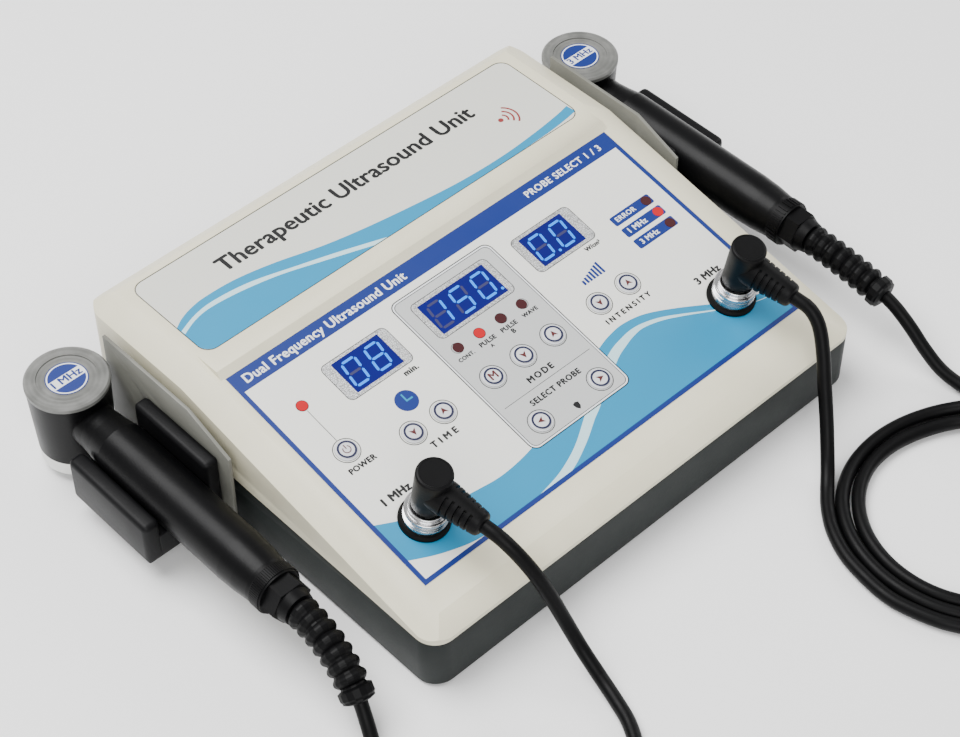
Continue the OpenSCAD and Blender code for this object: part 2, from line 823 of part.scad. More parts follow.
// a closed tube swept along a route
module tube(route, sides = 10) {
    r = len(route) > 9 ? route : finer(route);
    swept([for (i = [0 : len(r) - 1], p = ring_at(r, i, sides)) p], len(r), sides);
}

// the outer shape of a coil of lead lying on the table
module coil(at, r_in, r_out) {
    color([0.07, 0.07, 0.08]) translate([at[0], at[1], 0]) {
        difference() {
            cylinder(h = coil_h, r = r_out);
            translate([0, 0, -1]) cylinder(h = coil_h + 2, r = r_in);
        }
    }
}

module lead_left() {
    color([0.07, 0.07, 0.08]) {
        tube(left_hand_route);
        tube(left_plug_route);
    }
}

module lead_right() {
    color([0.07, 0.07, 0.08]) {
        tube(right_hand_route);
        tube(right_plug_route);
    }
}

// ---- what is drawn ----

lower_case();
upper_case();
rubber_feet();
screws();
title_label();
control_overlay();
display_windows();
display_modules();
status_lamps();
control_board();
tact_switches();
power_board();
mains_transformer();
heat_sink();
ribbon_cable();
key_cap(power_at);  // key_power
key_cap(time_at[0]);  // key_time_down
key_cap(time_at[1]);  // key_time_up
key_cap(menu_at);  // key_menu
key_cap(mode_at[0]);  // key_mode_down
key_cap(mode_at[1]);  // key_mode_up
key_cap(probe_at[0]);  // key_probe_down
key_cap(probe_at[1]);  // key_probe_up
key_cap(level_at[0]);  // key_level_down
key_cap(level_at[1]);  // key_level_up
mains_inlet();
fuse_holder();
fuse_cap();
mains_fuse();
rocker_frame();
rocker_key();
panel_sockets();
socket_washers();
plug_body(socket_list[0]);  // plug_left
plug_body(socket_list[1]);  // plug_right
plug_core(socket_list[0]);  // plug_core_left
plug_core(socket_list[1]);  // plug_core_right
coupling_ring(socket_list[0]);  // ring_left
coupling_ring(socket_list[1]);  // ring_right
side_brackets();
cradle(-1);  // cradle_left
cradle(1);  // cradle_right
head(-1);  // head_left
head_cap(-1);  // head_cap_left
treatment_face(-1);  // treatment_face_left
crystal(-1);  // crystal_left
handle(-1);  // handle_left
gland(-1);  // gland_left
strain_relief(0);  // strain_relief_left
head(1);  // head_right
head_cap(1);  // head_cap_right
treatment_face(1);  // treatment_face_right
crystal(1);  // crystal_right
handle(1);  // handle_right
gland(1);  // gland_right
strain_relief(1);  // strain_relief_right
lead_left();
coil(left_coil_at, left_coil_in, left_coil_r);  // lead_left_coil
lead_right();
coil(right_coil_at, right_coil_in, right_coil_r);  // lead_right_coil
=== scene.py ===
import math
import bpy
from mathutils import Matrix, Vector


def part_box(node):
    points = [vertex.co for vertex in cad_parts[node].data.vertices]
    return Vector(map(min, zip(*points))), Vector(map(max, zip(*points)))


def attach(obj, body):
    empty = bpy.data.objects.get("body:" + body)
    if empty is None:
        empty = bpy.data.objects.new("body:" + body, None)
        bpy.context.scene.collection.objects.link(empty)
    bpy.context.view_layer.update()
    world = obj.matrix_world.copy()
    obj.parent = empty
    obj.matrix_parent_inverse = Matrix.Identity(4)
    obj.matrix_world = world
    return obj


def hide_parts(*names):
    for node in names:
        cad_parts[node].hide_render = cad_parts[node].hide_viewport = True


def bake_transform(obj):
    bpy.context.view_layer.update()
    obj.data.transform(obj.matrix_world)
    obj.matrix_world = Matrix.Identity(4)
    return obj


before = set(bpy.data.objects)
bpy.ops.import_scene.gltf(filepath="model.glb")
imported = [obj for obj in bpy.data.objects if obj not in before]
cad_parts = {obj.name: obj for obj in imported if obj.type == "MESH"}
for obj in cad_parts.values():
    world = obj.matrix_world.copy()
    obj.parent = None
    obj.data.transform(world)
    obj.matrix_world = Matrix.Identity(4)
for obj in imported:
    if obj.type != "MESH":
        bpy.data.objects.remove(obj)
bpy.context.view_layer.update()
bpy.ops.object.select_all(action="DESELECT")

# ---- where it is seen from ----
# The console stands on a pale table top and is seen from above its front left
# corner, under one large soft light and a weaker one from the other side.
azimuth, elevation, roll = (math.radians(x) for x in (-43.27, 47.55, -0.04))
back = Vector((math.sin(azimuth) * math.cos(elevation),
               -math.cos(azimuth) * math.cos(elevation), math.sin(elevation)))
right = Vector((math.cos(azimuth), math.sin(azimuth), 0))
up = back.cross(right)
eye = Matrix((right, up, back)).transposed().to_4x4() @ Matrix.Rotation(roll, 4, "Z")
eye.translation = (-0.47553, -0.50920, 0.77139)
camera_data = bpy.data.cameras.new("camera")
camera_data.lens = 87.914
camera_data.sensor_width = 36
camera = bpy.data.objects.new("camera", camera_data)
camera.matrix_world = eye
bpy.context.scene.collection.objects.link(camera)
bpy.context.scene.camera = camera


def soft_light(name, place, size, power):
    data = bpy.data.lights.new(name, "AREA")
    data.shape = "DISK"
    data.size = size
    data.energy = power
    lamp = bpy.data.objects.new(name, data)
    lamp.location = place
    lamp.rotation_euler = (-Vector(place)).to_track_quat("-Z", "Y").to_euler()
    bpy.context.scene.collection.objects.link(lamp)


soft_light("light_over", (-0.35, 0.55, 1.5), 1.3, 44)
soft_light("light_front", (-0.9, -1.1, 1.1), 1.2, 17)
soft_light("light_side", (1.5, -0.2, 0.9), 1.0, 9)
world = bpy.data.worlds.new("room")
world.use_nodes = True
world.node_tree.nodes["Background"].inputs[0].default_value = (1, 1, 1, 1)
world.node_tree.nodes["Background"].inputs[1].default_value = 0.55
bpy.context.scene.world = world


class Value:
    """An output of a finish's nodes; arithmetic on it adds the nodes for it."""

    def __init__(self, finish, socket):
        self.finish = finish
        self.socket = socket

    def worked(self, operation, first, second=0.0):
        return self.finish.node("ShaderNodeMath", {"operation": operation}, first, second)

    def __add__(self, other):
        return self.worked("ADD", self, other)

    __radd__ = __add__

    def __sub__(self, other):
        return self.worked("SUBTRACT", self, other)

    def __rsub__(self, other):
        return self.worked("SUBTRACT", other, self)

    def __mul__(self, other):
        return self.worked("MULTIPLY", self, other)

    __rmul__ = __mul__

    def high(self, other):
        return self.worked("MAXIMUM", self, other)

    def low(self, other):
        return self.worked("MINIMUM", self, other)

    def sine(self):
        return self.worked("SINE", self)

    def step(self, start, end):
        return self.finish.node(
            "ShaderNodeMapRange", {"interpolation_type": "SMOOTHSTEP"}, self, start, end, 0.0, 1.0)


class Finish:
    """One material, made of nodes round its main shader."""

    def __init__(self, name, roughness=0.5, metallic=0.0, specular=0.5):
        self.material = bpy.data.materials.new(name)
        self.material.use_nodes = True
        self.tree = self.material.node_tree
        self.shader = self.tree.nodes["Principled BSDF"]
        self.shader.inputs["Roughness"].default_value = roughness
        self.shader.inputs["Metallic"].default_value = metallic
        self.shader.inputs["Specular IOR Level"].default_value = specular
        place = self.tree.nodes.new("ShaderNodeTexCoord")
        self.place = Value(self, place.outputs["Object"])

    def node(self, kind, settings, *inputs):
        """Adds a node: its type, its settings, then the values or links of its sockets."""
        node = self.tree.nodes.new(kind)
        for key, value in settings.items():
            setattr(node, key, value)
        used = [s for s in node.inputs if s.enabled]
        for socket, item in zip(used, inputs):
            if isinstance(item, Value):
                self.tree.links.new(item.socket, socket)
            elif item is not None:
                socket.default_value = item
        return Value(self, next(s for s in node.outputs if s.enabled))

    def axes(self):
        split = self.tree.nodes.new("ShaderNodeSeparateXYZ")
        self.tree.links.new(self.place.socket, split.inputs[0])
        return [Value(self, s) for s in split.outputs]

    def noise(self, scale, detail=2.0, rough=0.5, stretch=None):
        place = self.place
        if stretch:
            place = self.node("ShaderNodeVectorMath", {"operation": "MULTIPLY"}, place, stretch)
        return self.node("ShaderNodeTexNoise", {}, place, scale, detail, rough)

    def mix(self, factor, first, second):
        first, second = ((*c, 1) if isinstance(c, tuple) else c for c in (first, second))
        return self.node("ShaderNodeMix", {"data_type": "RGBA"}, factor, first, second)

    def colour(self, value):
        self.tree.links.new(value.socket, self.shader.inputs["Base Color"])

    def rough(self, value):
        self.tree.links.new(value.socket, self.shader.inputs["Roughness"])

    def bump(self, height, distance=0.0001, strength=1.0):
        node = self.tree.nodes.new("ShaderNodeBump")
        node.inputs["Strength"].default_value = strength
        node.inputs["Distance"].default_value = distance
        self.tree.links.new(height.socket, node.inputs["Height"])
        self.tree.links.new(node.outputs[0], self.shader.inputs["Normal"])


table_top = Finish("table_top", 0.6)
table_top.colour(table_top.mix(table_top.noise(3), (0.96, 0.96, 0.96), (0.97, 0.97, 0.97)))
bpy.ops.mesh.primitive_plane_add(size=8, location=(0, 0, -0.0002))
floor = bpy.context.object
floor.name = "floor"
floor.data.materials.append(table_top.material)

# ---- leads ----
# Each handset hangs on a round lead with a black satin sheath, about 1.1 m long.
# The right one lies in open loops; the left one is wound up close in two layers.
lead_radius = 0.0031
sheath = Finish("lead_sheath", 0.42, specular=0.12)
sheath.colour(sheath.mix(sheath.noise(90, 3), (0.0012, 0.0012, 0.0014), (0.003, 0.003, 0.0033)))
sheath.rough(sheath.noise(260, 3) * 0.2 + 0.33)
sheath.bump(sheath.noise(1400, 2) + sheath.noise(160, 2) * 1.5, 0.00005, 0.5)


def through(points, before=None, after=None, spacing=0.0026):
    """Evenly spaced points on the smooth curve through the given ones (mm in, metres out)."""
    line = []
    ends = [before or points[0]] + points + [after or points[-1]]
    for n in range(len(points) - 1):
        p0, p1, p2, p3 = (Vector(p) for p in ends[n:n + 4])
        for t in (k / 24 for k in range(24)):
            line.append(0.5 * (2 * p1 + (p2 - p0) * t + (2 * p0 - 5 * p1 + 4 * p2 - p3) * t * t
                               + (3 * p1 - p0 - 3 * p2 + p3) * t ** 3))
    line.append(Vector(points[-1]))
    line = [p * 0.001 for p in line]
    total = sum((b - a).length for a, b in zip(line, line[1:]))
    count = max(4, round(total / spacing))
    even, walked, n = [line[0]], 0.0, 0
    for k in range(1, count):
        want = total * k / count
        while walked + (line[n + 1] - line[n]).length < want:
            walked += (line[n + 1] - line[n]).length
            n += 1
        even.append(line[n].lerp(line[n + 1], (want - walked) / (line[n + 1] - line[n]).length))
    return even + [line[-1]]


def round_lead(name, line, radius=lead_radius, sides=14):
    """A closed tube round a line of points."""
    side = Vector((0, 0, 1)).cross(line[1] - line[0]).normalized()
    rings, verts, faces = len(line), [], []
    for n, p in enumerate(line):
        along = (line[min(n + 1, rings - 1)] - line[max(n - 1, 0)]).normalized()
        side = (side - along * side.dot(along)).normalized()
        over = along.cross(side)
        for k in range(sides):
            turn = 2 * math.pi * k / sides
            verts.append(p + (side * math.cos(turn) + over * math.sin(turn)) * radius)
    for n in range(rings - 1):
        for k in range(sides):
            a, b = n * sides + k, n * sides + (k + 1) % sides
            faces.append((a, b, b + sides, a + sides))
    faces.append(tuple(reversed(range(sides))))
    faces.append(tuple((rings - 1) * sides + k for k in range(sides)))
    mesh = bpy.data.meshes.new(name)
    mesh.from_pydata(verts, [], faces)
    mesh.polygons.foreach_set("use_smooth", [True] * len(mesh.polygons))
    mesh.set_sharp_from_angle(angle=math.radians(50))
    mesh.materials.append(sheath.material)
    tube = bpy.data.objects.new(name, mesh)
    bpy.context.scene.collection.objects.link(tube)
    return tube


def wound(centre, start, turns, way, steps, radii, heights):
    """Points of a coil; radii and heights are (turns so far, value) pairs."""
    def at(table, t):
        for (t0, v0), (t1, v1) in zip(table, table[1:]):
            if t <= t1:
                s = (t - t0) / (t1 - t0)
                return v0 + (v1 - v0) * s * s * (3 - 2 * s)
        return table[-1][1]
    points = []
    for n in range(1, steps):
        t = turns * n / steps
        angle = math.radians(start) + way * 2 * math.pi * t
        points.append((centre[0] + at(radii, t) * math.cos(angle),
                       centre[1] + at(radii, t) * math.sin(angle), at(heights, t)))
    return points


left_hand = [(-155.2, -101, 16.6), (-156, -103.6, 13.9), (-157.9, -108.6, 9.4), (-161.2, -115.6, 5.8),
             (-166, -123.5, 4), (-173.5, -134, 3.2), (-182.5, -147, 3.2), (-190, -161, 3.2)]
left_coil = wound((-155, -182), 149, 4.41, 1, 76,
                  [(0, 40.8), (0.25, 35.6), (0.85, 34.8), (1.3, 28.4), (3.05, 28.4), (3.5, 35), (4.41, 36)],
                  [(0, 3.2), (1.95, 3.2), (2.3, 9.3), (4.2, 9.4), (4.41, 9)])
left_plug = [(-137.6, -212.4, 8.6), (-128.5, -208.2, 6.6), (-114.5, -202.3, 3.8), (-100, -195.6, 3.2),
             (-88, -186, 3.2), (-80.4, -174.5, 3.2), (-76.4, -163, 3.4), (-73.9, -151.4, 5.6)]
left_root = [(-73.9, -151.4, 5.6), (-73.4, -141, 12.2), (-74.4, -132.8, 22.4), (-76.4, -126, 34),
             (-79, -119.4, 45), (-81.8, -112.6, 53.6), (-83.9, -105.7, 58.8), (-85.1, -99, 60.5),
             (-86.1, -93.2, 61.6)]
right_hand = [(151, -105, 27.5), (151, -107.6, 26.8), (151, -113, 24.6), (151, -121, 19.8),
              (151.2, -130.6, 12.4), (151.8, -140.6, 6.4), (153.4, -152, 3.6), (155.6, -164, 3.2)]
right_coil = wound((98, -200), 21, 2.53, -1, 46,
                   [(0, 62.5), (0.13, 49.8), (0.3, 47.4), (0.558, 44.6), (0.83, 48.2), (1.03, 55.4),
                    (1.308, 54), (1.558, 50.9), (1.76, 54), (2.05, 61.5), (2.308, 60.3), (2.53, 57.3)],
                   [(0, 3.2), (0.9, 3.2), (1.05, 9.2), (1.25, 3.2), (1.88, 3.2), (2.01, 9.4), (2.16, 3.2),
                    (3, 3.2)])
right_plug = [(41.9, -211.9, 3.2), (40.6, -200, 3.2), (42.5, -185.1, 3.2), (45.3, -175.4, 3.2), (51, -164.6, 3.2),
              (58.4, -155.6, 3.2), (64.9, -149.6, 3.8)]
right_root = [(64.9, -149.6, 3.8), (71, -144.2, 6.2), (76.8, -138.2, 12), (82.2, -131.6, 22),
              (87.2, -124.6, 33.4), (92, -118, 44.4), (95.2, -111.8, 53.4), (95.9, -105.6, 58.6),
              (94.8, -99, 60.5), (93.8, -93.2, 61.6)]
for hand, coil, plug, root, side in (
        (left_hand, left_coil, left_plug, left_root, "left"),
        (right_hand, right_coil, right_plug, right_root, "right")):
    route = through(hand + coil + plug, after=root[1])
    lead = round_lead(f"lead_{side}_sheath", route)
    root_line = through(root, before=plug[-2])
    root_lead = round_lead(f"lead_{side}_root", root_line)
    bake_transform(lead)
    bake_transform(root_lead)
    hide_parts(f"lead_{side}", f"lead_{side}_coil")

# ---- housing ----
# Two ABS mouldings with a fine spark-eroded grain: a cream lid and a dark grey
# tray. The lid's edges are rounded, and a thin shadow line runs where they meet.


def moulded(name, dark, light, rough, grain=2600, depth=0.00003, specular=0.4):
    """Moulded plastic: a fine grain, faint flow marks and slightly uneven gloss."""
    made = Finish(name, rough, specular=specular)
    cloud = made.noise(14, 3) * 0.6 + made.noise(75, 2) * 0.4
    made.colour(made.mix(cloud.step(0.25, 0.75), dark, light))
    made.rough(made.noise(55, 3) * 0.14 + made.noise(900, 1) * 0.06 + (rough - 0.1))
    made.bump(made.noise(grain, 2) + made.noise(grain / 3.1, 1) * 0.6, depth, 0.6)
    return made.material


def coated(node, material):
    """Gives a CAD node its finish."""
    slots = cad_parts[node].data.materials
    slots.clear()
    slots.append(material)


def only(piece):
    bpy.ops.object.select_all(action="DESELECT")
    piece.select_set(True)
    bpy.context.view_layer.objects.active = piece


def softened(node, width, material, segments=3):
    """A copy of a CAD node with its moulded or machined edges rounded."""
    piece = bpy.data.objects.new(f"{node}_shell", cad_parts[node].data.copy())
    bpy.context.scene.collection.objects.link(piece)
    only(piece)
    bpy.ops.object.mode_set(mode="EDIT")
    bpy.ops.mesh.select_all(action="SELECT")
    bpy.ops.mesh.remove_doubles(threshold=0.000005)
    bpy.ops.mesh.dissolve_limited(angle_limit=math.radians(0.6))
    bpy.ops.object.mode_set(mode="OBJECT")
    rounding = piece.modifiers.new("rounding", "BEVEL")
    rounding.width = width
    rounding.segments = segments
    rounding.limit_method = "ANGLE"
    rounding.angle_limit = math.radians(30)
    bpy.ops.object.modifier_apply(modifier="rounding")
    bpy.ops.object.shade_smooth_by_angle(angle=math.radians(35))
    piece.data.materials.clear()
    piece.data.materials.append(material)
    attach(piece, "console")
    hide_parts(node)


cream = moulded("case_cream", (0.70, 0.66, 0.49), (0.75, 0.71, 0.54), 0.42)
tray_grey = moulded("tray_grey", (0.0075, 0.0105, 0.0100), (0.012, 0.016, 0.0152), 0.5, depth=0.00005, specular=0.18)
softened("upper_case", 0.0012, cream)
softened("lower_case", 0.0008, tray_grey)

# ---- panel films ----
# The control overlay and the title label are screen-printed polyester films in
# shallow recesses of the lid. Each ink is a thin layer of its own on the film.
tilt = math.radians(11)
panel = Matrix.Translation((0, -0.0897, 0.0378)) @ Matrix.Rotation(tilt, 4, "X")
title = Matrix.Translation((0, 0, 0.0645))


def film(name, colour, rough=0.38, specular=0.45):
    made = Finish(name, rough, specular=specular)
    low = tuple(c * 0.97 for c in colour)
    made.colour(made.mix(made.noise(40, 3), low, colour))
    made.rough(made.noise(70, 2) * 0.1 + (rough - 0.05))
    made.bump(made.noise(1700, 2) + made.noise(420, 2), 0.00002, 0.35)
    return made.material


paper_white = film("film_white", (0.80, 0.80, 0.755))
deep_blue = film("ink_deep_blue", (0.003, 0.020, 0.17))
light_blue = film("ink_light_blue", (0.003, 0.235, 0.44))
pale_blue = film("ink_pale_blue", (0.50, 0.74, 0.80))
panel_grey = film("ink_panel_grey", (0.50, 0.51, 0.505))
ink_black = film("ink_black", (0.006, 0.006, 0.007))
ink_white = film("ink_white", (0.78, 0.80, 0.82))
ink_red = film("ink_red", (0.25, 0.03, 0.03))
coated("control_overlay", paper_white)
coated("title_label", film("film_ivory", (0.66, 0.66, 0.60)))


def placed(piece, matrix, body, material):
    piece.data.transform(matrix)
    piece.data.materials.clear()
    piece.data.materials.append(material)
    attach(piece, body)
    return piece


def ink(name, loops, height, material, matrix=None, body="console"):
    """One ink: closed outlines in millimetres, an outline inside another is a hole."""
    flat = bpy.data.curves.new(name, "CURVE")
    flat.dimensions = "2D"
    flat.fill_mode = "BOTH"
    for loop in loops:
        spline = flat.splines.new("POLY")
        spline.points.add(len(loop) - 1)
        for point, (x, y) in zip(spline.points, loop):
            point.co = (x * 0.001, y * 0.001, 0, 1)
        spline.use_cyclic_u = True
    piece = bpy.data.objects.new(name, flat)
    bpy.context.scene.collection.objects.link(piece)
    only(piece)
    bpy.ops.object.convert(target="MESH")
    piece = bpy.context.object
    base = panel if matrix is None else matrix
    return placed(piece, base @ Matrix.Translation((0, 0, height * 0.001)), body, material)


def lettered(name, lines, height, material, matrix=None, body="console", weight=0.03):
    """Printed words, each as (text, middle x, middle y, width, letter spacing), struck five times for weight."""
    made = []
    for words, x, y, width, spacing in lines:
        bpy.ops.object.text_add()
        text = bpy.context.object
        text.data.body = words
        text.data.align_x = "CENTER"
        text.data.align_y = "CENTER"
        text.data.space_character = spacing
        text.data.resolution_u = 3
        bpy.ops.object.convert(target="MESH")
        text = bpy.context.object
        across = [v.co.x for v in text.data.vertices]
        scale = width * 0.001 / (max(across) - min(across))
        middle = (max(across) + min(across)) / 2
        for strike, rise in ((-weight, 0), (0, 0), (weight, 0), (0, 0.7 * weight), (0, -0.7 * weight)):
            copy = text.copy()
            copy.data = text.data.copy()
            bpy.context.scene.collection.objects.link(copy)
            copy.data.transform(Matrix.Translation((x * 0.001, y * 0.001, (strike + 1.7 * rise) * 0.0001))
                                @ Matrix.Scale(scale, 4) @ Matrix.Translation((strike - middle, rise, 0)))
            made.append(copy)
        bpy.data.objects.remove(text)
    bpy.ops.object.select_all(action="DESELECT")
    for text in made:
        text.select_set(True)
    bpy.context.view_layer.objects.active = made[0]
    if len(made) > 1:
        bpy.ops.object.join()
    piece = made[0]
    piece.name = name
    piece.data.name = name
    base = panel if matrix is None else matrix
    return placed(piece, base @ Matrix.Translation((0, 0, height * 0.001)), body, material)


def box_line(x0, y0, x1, y1, r=0.0, steps=6):
    """Outline of a rectangle with rounded corners."""
    if r <= 0:
        return [(x0, y0), (x1, y0), (x1, y1), (x0, y1)]
    points = []
    for cx, cy, start in ((x1 - r, y0 + r, -90), (x1 - r, y1 - r, 0), (x0 + r, y1 - r, 90), (x0 + r, y0 + r, 180)):
        for k in range(steps + 1):
            turn = math.radians(start + 90 * k / steps)
            points.append((cx + r * math.cos(turn), cy + r * math.sin(turn)))
    return points


def circle_line(x, y, r, steps=40):
    return [(x + r * math.cos(2 * math.pi * k / steps), y + r * math.sin(2 * math.pi * k / steps))
            for k in range(steps)]


def eased(points, fine=6):
    """A smooth line through the given points."""
    out = []
    for n in range(len(points) - 1):
        p0, p1, p2, p3 = (Vector(points[max(0, min(len(points) - 1, n + k))]) for k in (-1, 0, 1, 2))
        for t in (k / fine for k in range(fine)):
            q = 0.5 * (2 * p1 + (p2 - p0) * t + (2 * p0 - 5 * p1 + 4 * p2 - p3) * t * t
                       + (3 * p1 - p0 - 3 * p2 + p3) * t ** 3)
            out.append((q.x, q.y))
    return out + [tuple(points[-1])]


wave_top = eased([(-107.9, 33), (-98, 28.2), (-89.9, 25.5), (-75, 21.4), (-62.4, 19.3), (-50.9, 18.3),
                  (-36, 19.7), (-18, 23.8), (0, 29.6), (14, 35.2), (26.6, 39.4), (33.2, 40.9), (40.4, 41.6),
                  (49.1, 40.5), (56.5, 38), (66.4, 33.1), (74.9, 28.3), (84, 23), (95, 18), (107.9, 14.6)])
wave_low = eased([(-74.5, 2.1), (-80, 2.6), (-87.2, 4.2), (-97.8, 7.8), (-107.9, 12.6)])
ink("panel_wave", [wave_top + [(107.9, 2.1)] + wave_low], -0.07, light_blue)
streak_up = eased([(-45, 2.1), (-33.9, 4.1), (-25.6, 6.7), (-17.5, 10.2), (-8, 15.8), (4, 23.4), (16, 30),
                   (27.8, 34.9), (35.4, 36.6), (42, 37.3), (48.6, 36.6), (57.1, 34), (66.1, 29.5), (76.7, 23.6),
                   (86, 18.6), (96, 14.6), (107.9, 11.8)])
streak_low = eased([(107.9, 11.5), (96, 14.2), (86, 18.1), (76.3, 23), (65.4, 28.5), (56.1, 32.5), (47.1, 34.6),
                    (40.3, 34), (34.9, 32.6), (27.4, 30), (14, 22.8), (2.8, 16.7), (-2.2, 14.2), (-10.3, 9.5),
                    (-16.9, 6.2), (-22, 3.9), (-27, 2.1)])
ink("panel_streak", [streak_up + streak_low], -0.06, pale_blue)
ink("panel_border", [box_line(-110, 0, 110, 122.8), box_line(-107.9, 2.1, 107.9, 113.2)], -0.04, deep_blue)
ink("panel_tags", [box_line(76.5, 80.4, 100.4, 85.8, 0.9), box_line(76.5, 72.8, 100.4, 78.2, 0.9),
                   box_line(76.5, 65.1, 100.4, 70.6, 0.9), circle_line(-58, 69.3, 5.2)]
    + [box_line(42.8 + 1.9 * n, 66.1, 44 + 1.9 * n, 68.6 + 0.66 * n) for n in range(7)], -0.05, deep_blue)
ink("clock_hands", [[(-58.4, 68.8), (-54.8, 68.8), (-54.8, 69.6), (-57.6, 69.6), (-57.6, 73), (-58.4, 73)]],
    -0.03, light_blue)
ink("mode_field", [box_line(-33, 18.2, 24.3, 109.5, 4), box_line(-23.3, 84.5, 14.3, 101.9, 0.4)], -0.05, panel_grey)
ink("mode_field_gap", [box_line(-32.6, 18.6, 23.9, 109.1, 3.7), box_line(-31.9, 19.3, 23.2, 108.4, 3.1)],
    -0.035, ink_white)
ink("mode_field_lines", [box_line(-33.1, 18.1, 24.4, 109.6, 4.1), box_line(-32.65, 18.55, 23.95, 109.15, 3.7),
                         box_line(-31.9, 19.3, 23.2, 108.4, 3.1), box_line(-31.6, 19.6, 22.9, 108.1, 2.9)],
    -0.03, ink_black)
ink("panel_lines", [box_line(-28.6, 41, 21, 41.25), box_line(-93.68, 72.3, -93.4, 90.6),
                    [(-4.6, 25), (-3.1, 25.6), (-1.6, 25), (-1.9, 23), (-3.1, 21.6), (-4.3, 23)]],
    -0.03, ink_black)
lettered("panel_words", [
    ("POWER", -92.5, 57.2, 13.4, 1.1), ("TIME", -57.7, 46.2, 13.6, 1.7), ("MODE", -4.2, 45, 13.8, 1.35),
    ("SELECT PROBE", -4.1, 35.9, 28, 1.15), ("INTENSITY", 49.6, 46, 26, 1.6), ("min.", -46.4, 79.6, 7, 1.1),
    ("W/cm²", 60.5, 79.6, 8.6, 1), ("CONT.", -23.3, 70.2, 8.4, 1.1), ("PULSE", -10.8, 70.6, 8.6, 1.1),
    ("A", -10.8, 67.7, 1.5, 1), ("PULSE", 1.6, 70.6, 8.6, 1.1), ("B", 1.6, 67.7, 1.5, 1),
    ("WAVE", 13.9, 70.6, 8.2, 1.1), ("1 MHz", -91.2, 38.2, 14, 1.05), ("3 MHz", 90.2, 37.4, 14, 1.05)],
    -0.02, ink_black, weight=0.055)
lettered("panel_words_white", [
    ("Dual Frequency Ultrasound Unit", -60, 117.8, 88, 1.05), ("PROBE SELECT 1 / 3", 79, 117.6, 46, 1.1),
    ("ERROR", 84.6, 83.1, 11.6, 1.1), ("1 MHz", 84.6, 75.5, 10.6, 1.05), ("3 MHz", 84.6, 67.8, 10.6, 1.05)],
    -0.02, ink_white)

label_top = eased([(-108.2, 64.6), (-103, 67.6), (-96, 69.8), (-88, 70.7), (-72.6, 70), (-54.3, 66.3), (-32.9, 60.1),
                   (-12.5, 55.8), (12.1, 52), (37.7, 49), (62.6, 48.2), (84, 49.4), (100, 51.2), (107.4, 52.6)])
label_low = eased([(108, 47.4), (100, 46.2), (88, 45.2), (70, 44.8)])
label_corner = [(-102.4 - 5.8 * math.sin(math.radians(a)), 50.6 - 5.8 * math.cos(math.radians(a)))
                for a in range(0, 91, 15)]
ink("title_wave", [label_top + label_low + label_corner], -0.06, light_blue, title)
ink("title_streak", [eased([(-108, 61.8), (-98, 65.4), (-86.9, 66.6), (-69.1, 64.5), (-48, 58.2), (-29.7, 52.4),
                            (-8.6, 44.9)])
                     + eased([(-16, 44.9), (-19.5, 46.2), (-38.8, 52.9), (-57.1, 59), (-75.3, 62.8), (-90.6, 64.2),
                              (-100, 62.8), (-108, 59.4)])], -0.04, pale_blue, title)
ink("title_edge", [box_line(-108.5, 44.5, 108.5, 96.5, 5.8), box_line(-108.2, 44.8, 108.2, 96.2, 5.5)],
    -0.03, ink_black, title)
lettered("title_words", [("Therapeutic Ultrasound Unit", 0, 80, 146, 1.02)], -0.03, ink_black, title)
arcs = []
for n in range(3):
    r = 3.2 + 2.5 * n
    turns = [math.radians(-52 + 104 * k / 16) for k in range(17)]
    arcs.append([(80 + r * math.cos(t), 66 + r * math.sin(t)) for t in turns]
                + [(80 + (r - 0.9) * math.cos(t), 66 + (r - 0.9) * math.sin(t)) for t in reversed(turns)])
ink("title_mark", arcs + [circle_line(79, 66, 1.3, 20)], -0.03, ink_red, title)

# ---- displays ----
# Dark blue filter windows behind silver printed frames. Each digit is seven
# slanted light bars and a point; the bars that are off stay faintly visible.
window = Finish("window_filter", 0.12, specular=0.3)
window.colour(window.mix(window.noise(30, 2), (0.004, 0.005, 0.11), (0.006, 0.008, 0.16)))
window.rough(window.noise(60, 2) * 0.06 + 0.09)
coated("display_windows", window.material)
silver = Finish("frame_silver", 0.35, 0.35)
cells = silver.node("ShaderNodeTexVoronoi", {"feature": "DISTANCE_TO_EDGE"}, silver.place, 1150.0)
silver.colour(silver.mix(cells.step(0.02, 0.2), (0.30, 0.30, 0.30), (0.70, 0.71, 0.71)))
silver.rough(cells * 0.3 + 0.28)
silver.bump(cells.step(0.0, 0.25), 0.00006, 0.6)
lit = Finish("bar_lit", 0.4)
lit.shader.inputs["Emission Strength"].default_value = 0.5
lit.colour(lit.mix(lit.noise(900, 1), (0.0, 0.17, 0.75), (0.0, 0.22, 0.85)))
lit.tree.links.new(lit.mix(lit.noise(500, 1), (0.0, 0.20, 1.0), (0.0, 0.27, 1.0)).socket,
                   lit.shader.inputs["Emission Color"])
unlit = film("bar_unlit", (0.035, 0.035, 0.10), 0.3)


def bar_line(x0, y0, x1, y1, half=0.62, gap=0.4):
    """A light bar with pointed ends from one corner of the digit to the next."""
    a, b = Vector((x0, y0)), Vector((x1, y1))
    along = (b - a).normalized()
    side = Vector((-along.y, along.x)) * half
    a, b = a + along * gap, b - along * gap
    return [tuple(p) for p in (a, a + along * half + side, b - along * half + side, b,
                               b - along * half - side, a + along * half - side)]


